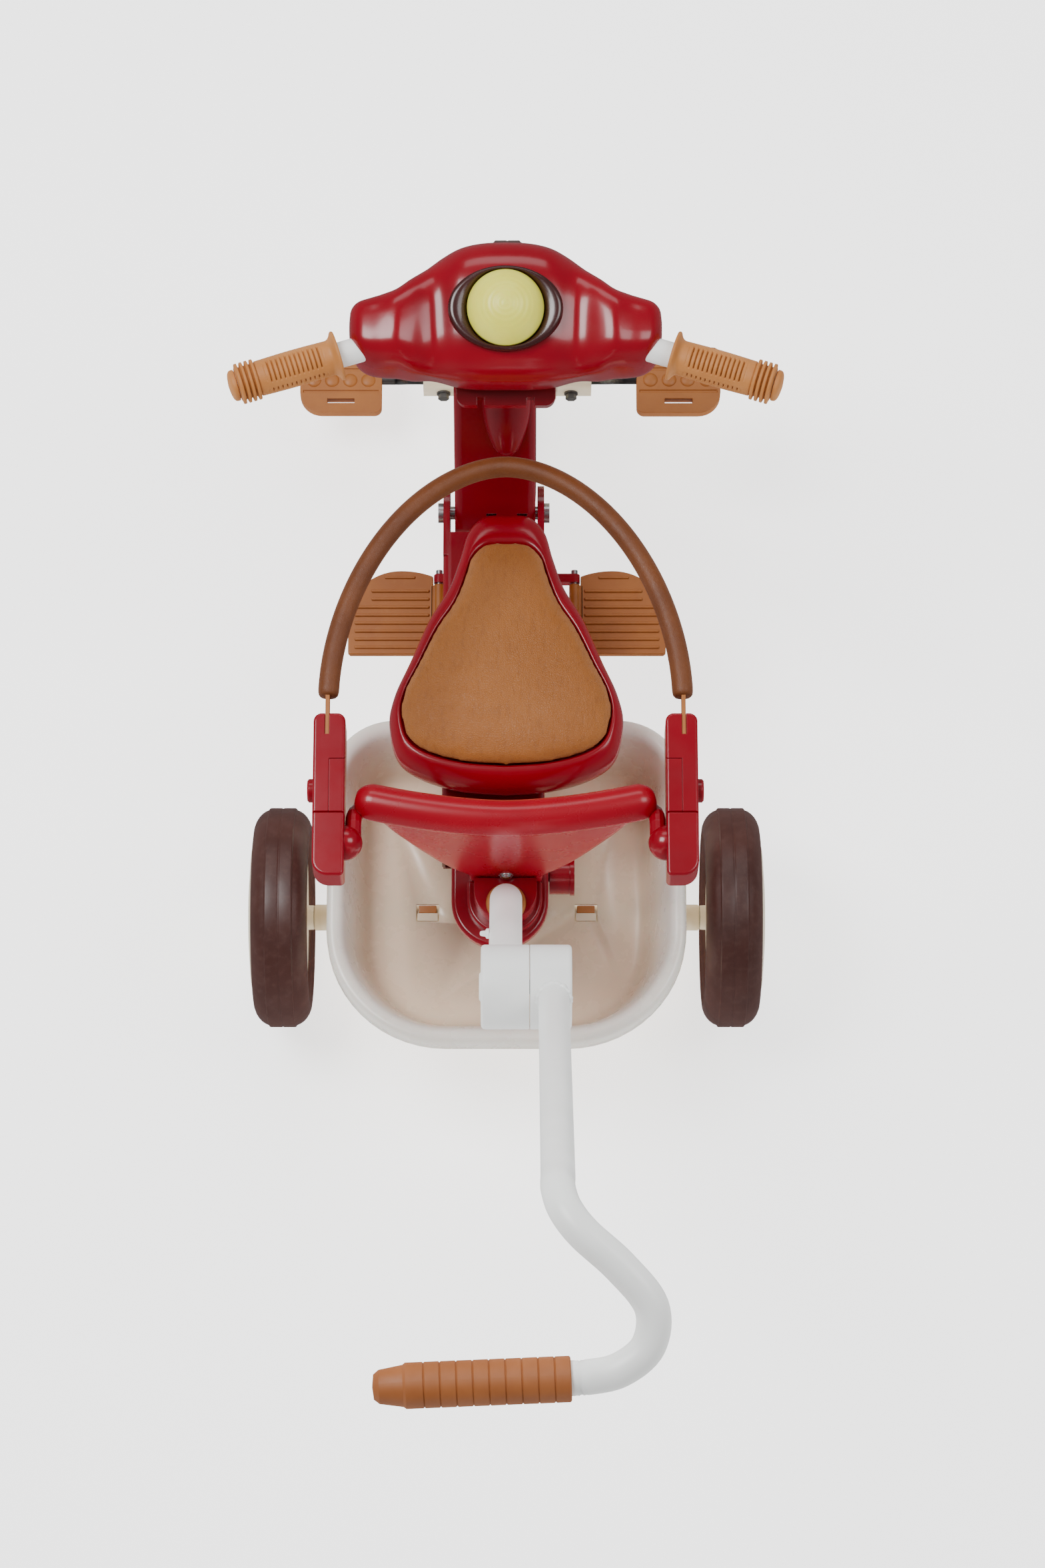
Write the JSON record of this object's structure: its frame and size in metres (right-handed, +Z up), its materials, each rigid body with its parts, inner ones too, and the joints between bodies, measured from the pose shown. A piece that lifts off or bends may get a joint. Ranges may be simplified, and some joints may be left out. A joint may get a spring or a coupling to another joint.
{
  "type": "children's tricycle",
  "caption": "Folding children's tricycle with a steering push bar, saddle, backrest, swing-up guard ring, folding footrests, pedals and a rear basket.",
  "frame": {"origin": "on the floor, in the middle of the tricycle's length and width at rest", "axes": "+X to the rider's right, +Y forwards, +Z up"},
  "size_m": [0.4698, 1.2314, 0.8976],
  "materials": {
    "red_metal": "gloss red paint",
    "red_tube": "gloss red paint",
    "red_plastic": "gloss red",
    "ivory_plastic": "gloss ivory",
    "ivory_metal": "satin ivory paint",
    "basket_plastic": "satin off-white",
    "tan_plastic": "moulded satin",
    "footrest_plastic": "moulded satin",
    "tan_leatherette": "soft grained",
    "guard_leatherette": "soft grained",
    "tan_rubber": "matte",
    "brown_tyre": "satin brown",
    "brown_plastic": "gloss",
    "yellow_rubber": "soft satin",
    "white_tube": "white powder coat",
    "white_plastic": "gloss white",
    "black_plastic": "matte",
    "black_metal": "satin black",
    "steel": "zinc plated",
    "spring_steel": "bright",
    "chrome": "polished"
  },
  "bodies": {
    "chassis": {"rear_beam": "red_metal", "fold_pin": "steel", "fold_springs": "spring_steel", "rear_housing": "red_plastic", "housing_cover": "red_plastic", "steer_bush": "tan_plastic", "rear_axle": "steel", "axle_tube": "ivory_metal", "basket": "basket_plastic", "basket_clips": "tan_plastic", "seat_mount": "red_plastic", "seat_base": "red_plastic", "seat_cushion": "tan_leatherette", "backrest": "red_plastic", "backrest_bolt": "chrome", "guard_arms": "red_tube", "rear_brackets": "red_plastic", "hinge_pins": "steel", "footrest_lugs": "red_plastic"},
    "wheel_rear_left": {"rear_tyre_left": "brown_tyre", "rear_hub_left": "ivory_plastic", "hub_cap_left": "ivory_plastic"},
    "wheel_rear_right": {"rear_tyre_right": "brown_tyre", "rear_hub_right": "ivory_plastic", "hub_cap_right": "ivory_plastic"},
    "knob": {"fold_knob": "red_plastic"},
    "link": {"steer_link": "steel"},
    "front_section": {"down_tube": "red_metal", "head_tube": "steel", "head_bearings": "black_plastic"},
    "steering": {"steering_stem": "steel", "bar_clamp": "steel", "fork": "ivory_plastic", "axle_blocks": "ivory_plastic", "block_bolts": "black_metal", "handlebar": "white_tube", "cowl": "red_plastic", "cowl_neck": "red_plastic", "horn_ring": "brown_plastic", "grip_left": "tan_rubber", "grip_right": "tan_rubber"},
    "horn": {"horn_button": "yellow_rubber"},
    "wheel_front": {"front_tyre": "brown_tyre", "front_hub": "ivory_plastic", "crank": "black_metal"},
    "left_pedal": {"pedal_left": "tan_plastic"},
    "right_pedal": {"pedal_right": "tan_plastic"},
    "left_footrest": {"footrest_left": "footrest_plastic"},
    "right_footrest": {"footrest_right": "footrest_plastic"},
    "guard": {"guard_sleeve": "guard_leatherette", "guard_strap": "tan_plastic", "guard_brackets": "red_plastic"},
    "left_guard_button": {"guard_button_left": "red_plastic"},
    "right_guard_button": {"guard_button_right": "red_plastic"},
    "push_lower": {"push_tube_lower": "white_tube", "push_joint_pin": "steel"},
    "push_release": {"joint_button": "white_plastic"},
    "tube_catch": {"tube_button": "white_plastic"},
    "push_upper": {"push_tube_upper": "white_tube", "push_grip": "tan_rubber"}
  },
  "joints": [
    {"name": "rear_wheel_left_spin", "type": "hinge", "parent": "chassis", "child": "wheel_rear_left", "pos_m": [-0.204, -0.03429, 0.1], "axis": [1, 0, 0], "continuous": true},
    {"name": "rear_wheel_right_spin", "type": "hinge", "parent": "chassis", "child": "wheel_rear_right", "pos_m": [0.204, -0.03429, 0.1], "axis": [1, 0, 0], "continuous": true},
    {"name": "front_fold", "type": "hinge", "parent": "chassis", "child": "front_section", "pos_m": [0, 0.31671, 0.215], "axis": [-1, 0, 0], "range_deg": [0, 90]},
    {"name": "steering_turn", "type": "hinge", "parent": "front_section", "child": "steering", "pos_m": [0, 0.48071, 0.13], "axis": [0, -0.342, 0.9397], "range_deg": [-35, 35]},
    {"name": "wheel_front_spin", "type": "hinge", "parent": "steering", "child": "wheel_front", "pos_m": [0, 0.48571, 0.13], "axis": [1, 0, 0], "continuous": true},
    {"name": "pedal_left_spin", "type": "hinge", "parent": "wheel_front", "child": "left_pedal", "pos_m": [-0.159, 0.50916, 0.07477], "axis": [1, 0, 0], "continuous": true},
    {"name": "pedal_right_spin", "type": "hinge", "parent": "wheel_front", "child": "right_pedal", "pos_m": [0.159, 0.46227, 0.18523], "axis": [1, 0, 0], "continuous": true},
    {"name": "horn_press", "type": "slide", "parent": "steering", "child": "horn", "axis": [0, 0.2588, -0.9659], "range_m": [0, 0.0035], "stiffness_N_per_m": 900, "springref_m": -0.004},
    {"name": "footrest_left_fold", "type": "hinge", "parent": "chassis", "child": "left_footrest", "pos_m": [-0.062, 0.23171, 0.177], "axis": [0, 1, 0], "range_deg": [0, 80]},
    {"name": "footrest_right_fold", "type": "hinge", "parent": "chassis", "child": "right_footrest", "pos_m": [0.062, 0.23171, 0.177], "axis": [0, -1, 0], "range_deg": [0, 80]},
    {"name": "guard_lift", "type": "hinge", "parent": "chassis", "child": "guard", "pos_m": [0, -0.01929, 0.43], "axis": [1, 0, 0], "range_deg": [0, 100]},
    {"name": "guard_button_left_press", "type": "slide", "parent": "guard", "child": "left_guard_button", "axis": [1, 0, 0], "range_m": [0, 0.003], "stiffness_N_per_m": 600, "springref_m": -0.003},
    {"name": "guard_button_right_press", "type": "slide", "parent": "guard", "child": "right_guard_button", "axis": [-1, 0, 0], "range_m": [0, 0.003], "stiffness_N_per_m": 600, "springref_m": -0.003},
    {"name": "push_steer", "type": "hinge", "parent": "chassis", "child": "push_lower", "pos_m": [0, -0.07829, 0.28], "axis": [0, 0, 1], "range_deg": [-35, 35]},
    {"name": "link_slide", "type": "slide", "parent": "chassis", "child": "link", "axis": [0, 1, 0], "range_m": [-0.0155, 0.0155]},
    {"name": "push_fold", "type": "hinge", "parent": "push_lower", "child": "push_upper", "pos_m": [0, -0.19529, 0.447], "axis": [1, 0, 0], "range_deg": [0, 90]},
    {"name": "push_release_press", "type": "slide", "parent": "push_lower", "child": "push_release", "axis": [1, 0, 0], "range_m": [0, 0.004], "stiffness_N_per_m": 600, "springref_m": -0.003},
    {"name": "tube_catch_press", "type": "slide", "parent": "push_lower", "child": "tube_catch", "axis": [1, 0, 0], "range_m": [0, 0.003], "stiffness_N_per_m": 500, "springref_m": -0.003},
    {"name": "fold_knob_turn", "type": "hinge", "parent": "chassis", "child": "knob", "pos_m": [0.05, -0.03729, 0.24], "axis": [1, 0, 0], "range_deg": [0, 90]}
  ],
  "couplings": [
    {"joint": "push_steer", "follows": "steering_turn", "ratio": 1},
    {"joint": "link_slide", "follows": "steering_turn", "m_per_rad": -0.025}
  ]
}
